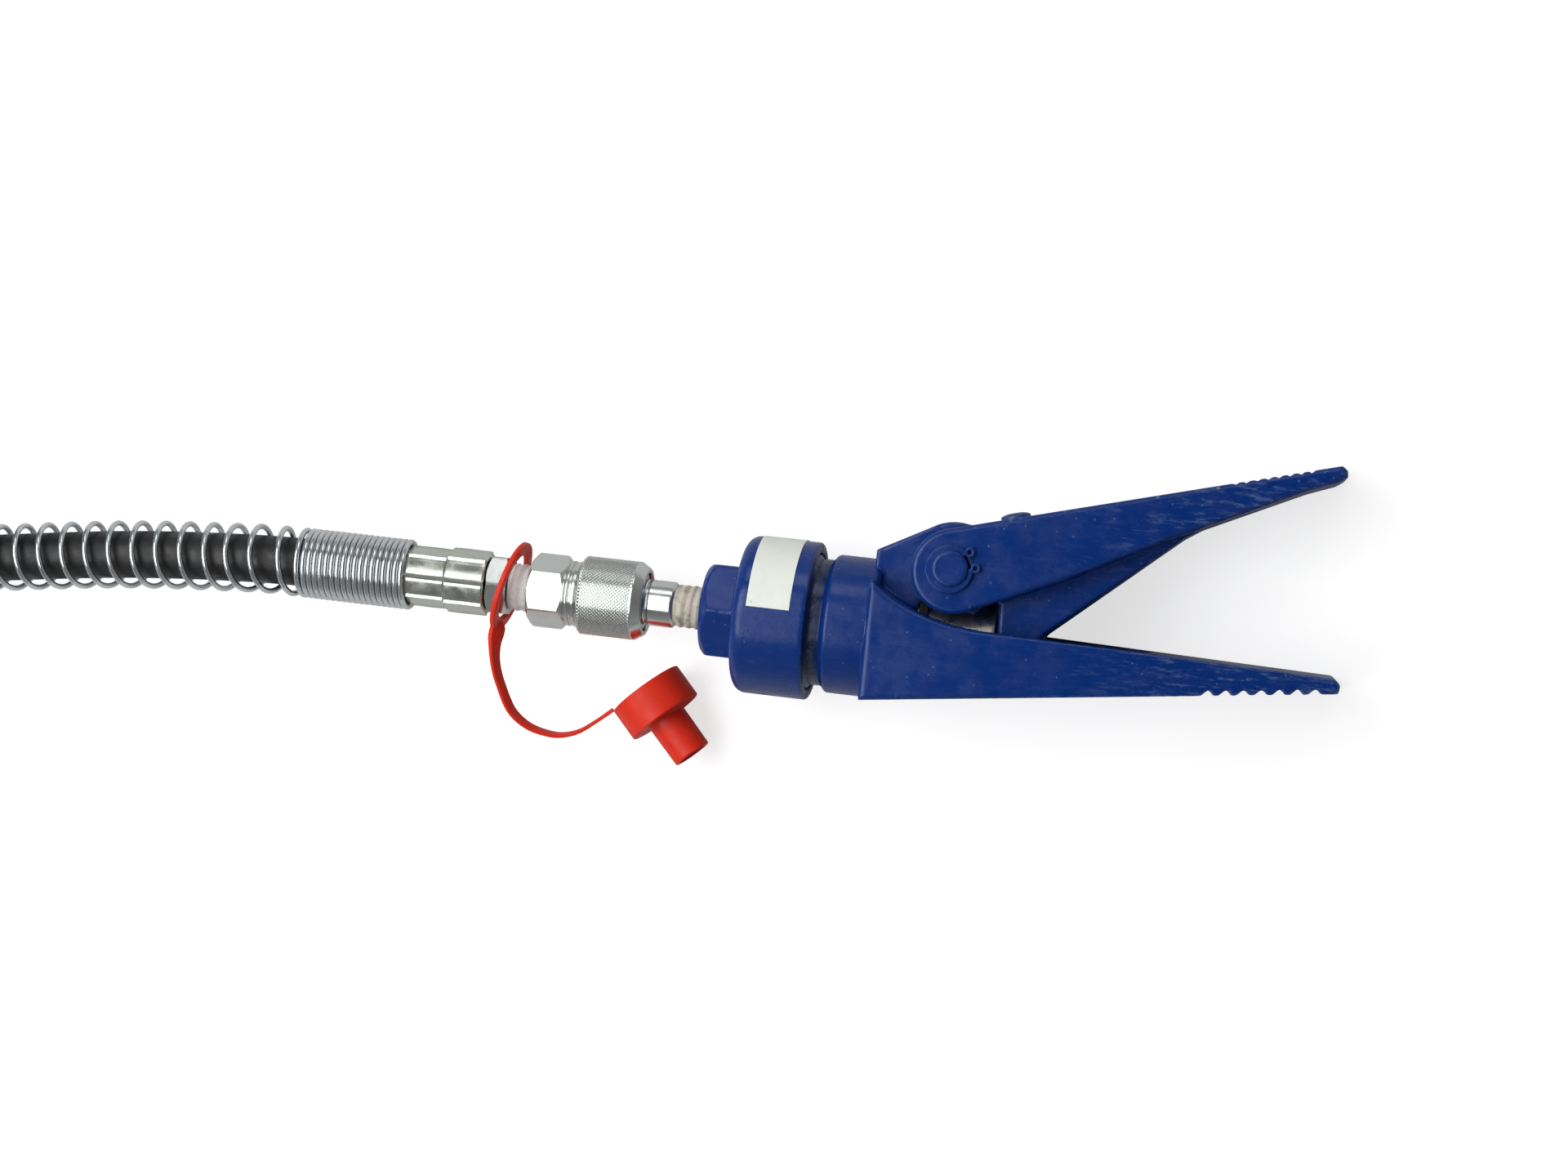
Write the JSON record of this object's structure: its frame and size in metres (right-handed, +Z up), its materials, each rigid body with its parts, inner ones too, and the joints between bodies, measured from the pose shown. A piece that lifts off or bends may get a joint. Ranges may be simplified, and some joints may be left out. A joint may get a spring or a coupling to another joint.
{
  "type": "hydraulic rescue spreader",
  "caption": "Hydraulic wedge spreader: a plunger opens two toothed steel jaws, fed through a knurled screw coupler by a spring-guarded hose, with a tethered dust cap.",
  "frame": {"origin": "bottom centre of the box of the tool, coupler and dust cap, without the loose hose beyond its first ferrule", "axes": "+X along the tool towards the jaw tips, +Y the way the jaws open, +Z up: the tool lies on its side"},
  "size_m": [0.7224, 0.2839, 0.0565],
  "materials": {
    "blue_enamel": "glossy deep blue enamel over a rough forging, with specks and runs",
    "blue_enamel_hardware": "blue enamel sprayed over assembled hardware",
    "ground_steel": "ground bright steel",
    "zinc_plate": "bright zinc plate",
    "ferrule_zinc": "crimped zinc plate, slightly yellow-green",
    "spring_steel": "plated spring wire",
    "hose_rubber": "satin black hose cover",
    "seal_rubber": "matt nitrile",
    "red_plastic": "satin red flexible plastic",
    "thread_tape": "clean white thread tape",
    "thread_tape_dirty": "soiled thread tape",
    "label_vinyl": "plain white sticker",
    "tie_nylon": "black nylon"
  },
  "bodies": {
    "frame": {"body_lower_jaw": "blue_enamel", "end_cap": "blue_enamel", "cap_o_ring": "seal_rubber", "label": "label_vinyl", "rod_wiper": "seal_rubber", "return_spring": "spring_steel", "spring_stud": "ground_steel", "thread_tape_tool": "thread_tape_dirty", "coupler_nipple": "zinc_plate", "coupler_hose_half": "zinc_plate", "coupler_o_ring": "seal_rubber", "thread_tape_hose": "thread_tape", "hose_fitting": "zinc_plate", "hose_ferrule": "ferrule_zinc", "guard_close_coils": "spring_steel", "hose_run": "hose_rubber", "guard_open_coils": "spring_steel", "hose_coil": "hose_rubber", "hose_tail": "hose_rubber", "hose_tie_1": "tie_nylon", "hose_tie_2": "tie_nylon", "far_guard": "spring_steel", "far_ferrule": "ferrule_zinc", "far_fitting": "zinc_plate"},
    "moving_jaw": {"upper_jaw": "blue_enamel", "pivot_pin": "blue_enamel_hardware", "circlip_near": "blue_enamel_hardware", "circlip_far": "blue_enamel_hardware", "spring_screw": "blue_enamel_hardware"},
    "plunger": {"plunger": "ground_steel", "piston_seal": "seal_rubber", "backup_ring": "thread_tape"},
    "collar": {"coupler_collar": "zinc_plate", "collar_ring": "spring_steel"},
    "dust_cap": {"dust_cap": "red_plastic", "dust_cap_strap": "red_plastic"}
  },
  "joints": [
    {"name": "jaw_pivot", "type": "hinge", "parent": "frame", "child": "moving_jaw", "pos_m": [0.04828, 0.01612, 0.02621], "axis": [0.0314, 0, 0.9995], "range_deg": [-27, 0], "deforming": ["return_spring"]},
    {"name": "plunger_slide", "type": "slide", "parent": "frame", "child": "plunger", "axis": [0.9995, 0, -0.0314], "range_m": [-0.0135, 0]},
    {"name": "collar_turn", "type": "hinge", "parent": "frame", "child": "collar", "pos_m": [-0.07096, -0.00758, 0.02996], "axis": [0.9995, 0, -0.0314], "continuous": true},
    {"name": "dust_cap_swing", "type": "hinge", "parent": "frame", "child": "dust_cap", "pos_m": [-0.10894, -0.00758, 0.03115], "axis": [-0.9995, 0, 0.0314], "range_deg": [0, 150]}
  ],
  "couplings": [
    {"joint": "plunger_slide", "follows": "jaw_pivot", "m_per_rad": 0.0284}
  ]
}
